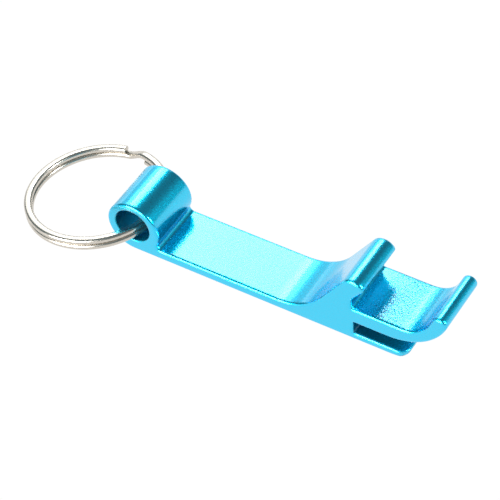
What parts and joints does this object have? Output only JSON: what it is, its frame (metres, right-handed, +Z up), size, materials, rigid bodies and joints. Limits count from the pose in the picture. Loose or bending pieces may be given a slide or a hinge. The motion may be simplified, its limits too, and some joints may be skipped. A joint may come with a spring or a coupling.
{
  "type": "keychain bottle opener",
  "caption": "Extruded pocket opener with a cap claw, an upturned lip and a slot for can tabs, on a split key ring through its end tube.",
  "frame": {"origin": "middle of the flat underside, half way across the width", "axes": "+X from the ring's tube towards the lip, +Y across the extrusion, +Z up"},
  "size_m": [0.0817, 0.025, 0.0133],
  "materials": {
    "anodised_aluminium": "light blue anodised, tumbled, slightly grainy on the extruded faces",
    "nickel_plated_steel": "bright nickel plate"
  },
  "bodies": {
    "opener": {"opener_body": "anodised_aluminium"},
    "ring": {"split_ring": "nickel_plated_steel"}
  },
  "joints": [
    {"name": "ring_swing", "type": "hinge", "parent": "opener", "child": "ring", "pos_m": [-0.024, 0, 0.00545], "axis": [0, 1, 0], "range_deg": [-150, 195]}
  ]
}
